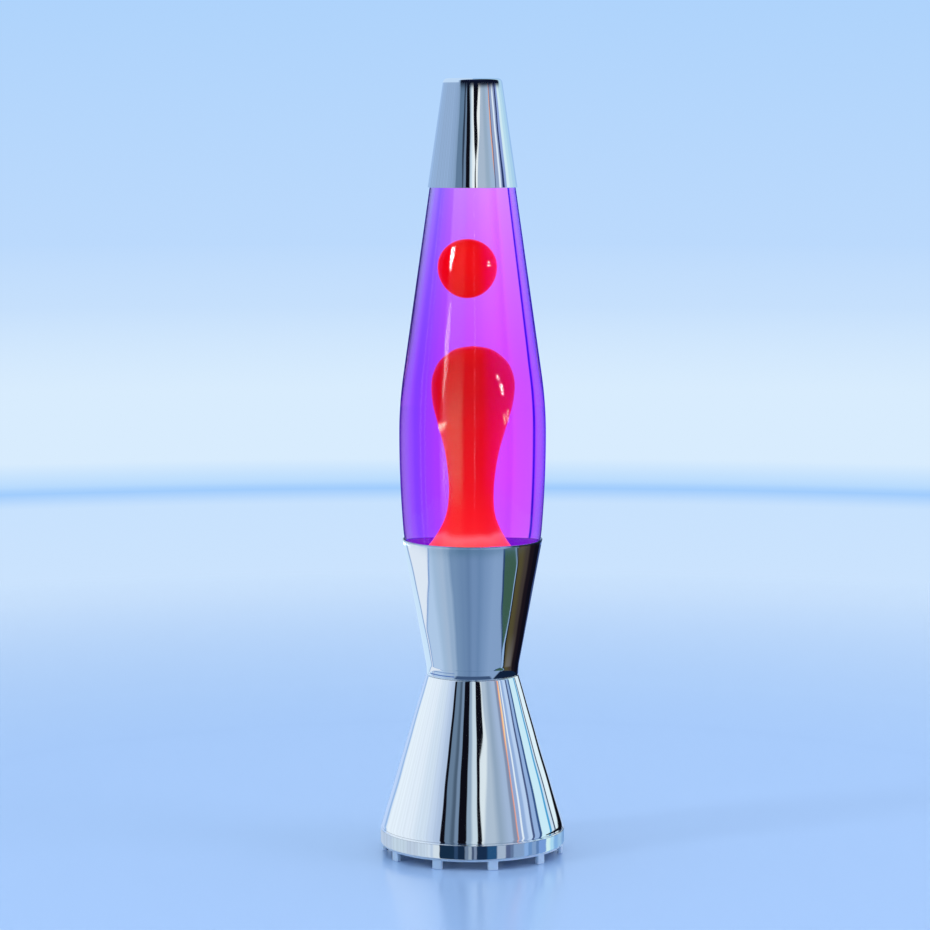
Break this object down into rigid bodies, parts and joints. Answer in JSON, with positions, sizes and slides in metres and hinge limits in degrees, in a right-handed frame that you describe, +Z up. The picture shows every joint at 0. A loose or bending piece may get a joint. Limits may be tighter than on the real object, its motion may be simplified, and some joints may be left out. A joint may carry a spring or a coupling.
{
  "type": "lava lamp",
  "caption": "Tapered glass bottle of tinted liquid and rising wax, standing in a polished double-cone foot over a small reflector bulb, with a polished cap.",
  "frame": {"origin": "on the table under the lamp's axis", "axes": "+Z up along the lamp's axis, -Y towards the front, +X to the right as seen from the front"},
  "size_m": [0.0882, 0.0882, 0.37],
  "materials": {
    "polished_metal": "mirror polished spun aluminium",
    "bottle_glass": "clear, glossy",
    "violet_liquid": "clear, dyed",
    "red_wax": "translucent, glowing",
    "tray_plastic": "pale translucent",
    "black_rubber": "matt",
    "spring_steel": "satin",
    "screw_steel": "zinc plated",
    "rivet_metal": "satin",
    "holder_plastic": "white phenolic moulding",
    "brass": "bright",
    "terminal_plastic": "natural polyamide",
    "brown_sleeve": "satin",
    "blue_sleeve": "satin",
    "earth_sleeve": "satin, green with a yellow stripe",
    "bulb_glass": "clear face, silvered sides",
    "bulb_cap_metal": "bright",
    "black_glass": "vitreous insulator",
    "solder": "dull",
    "stem_glass": "clear",
    "filament_wire": "glowing",
    "support_wire": "bare wire",
    "coil_steel": "bare wire",
    "crown_metal": "lacquered tinplate",
    "liner": "soft seal"
  },
  "bodies": {
    "base_unit": {"base_tray": "tray_plastic", "cord_grommet": "black_rubber", "spring_spider": "spring_steel", "spider_screws": "screw_steel", "lampholder_body": "holder_plastic", "lampholder_shell": "brass", "centre_contact": "brass", "lampholder_screws": "screw_steel", "terminal_block": "terminal_plastic", "terminal_screws": "brass", "live_lead": "brown_sleeve", "neutral_lead": "blue_sleeve", "earth_lead": "earth_sleeve"},
    "bulb": {"bulb_envelope": "bulb_glass", "bulb_screw_cap": "bulb_cap_metal", "bulb_insulator": "black_glass", "bulb_tip_contact": "solder", "bulb_stem": "stem_glass", "filament_supports": "support_wire", "bulb_filament": "filament_wire"},
    "stand": {"lower_cone": "polished_metal", "upper_cone": "polished_metal", "waist_rivets": "rivet_metal"},
    "bottle": {"glass_bottle": "bottle_glass", "wax_column": "red_wax", "liquid": "violet_liquid", "heating_coil": "coil_steel", "crown_liner": "liner", "crown_cap": "crown_metal"},
    "blob": {"wax_blob": "red_wax"},
    "cap": {"top_cap": "polished_metal"}
  },
  "joints": [
    {"name": "bulb_turn", "type": "hinge", "parent": "base_unit", "child": "bulb", "pos_m": [0, 0, 0.0146], "axis": [0, 0, 1], "range_deg": [0, 720]},
    {"name": "base_pull_off", "type": "slide", "parent": "base_unit", "child": "stand", "axis": [0, 0, 1], "range_m": [0, 0.1]},
    {"name": "bottle_lift", "type": "slide", "parent": "stand", "child": "bottle", "axis": [0, 0, 1], "range_m": [0, 0.08]},
    {"name": "cap_lift", "type": "slide", "parent": "bottle", "child": "cap", "axis": [0, 0, 1], "range_m": [0, 0.05]},
    {"name": "wax_drift", "type": "slide", "parent": "bottle", "child": "blob", "axis": [0, 0, 1], "range_m": [-0.02, 0.03], "deforming": ["liquid"]}
  ]
}
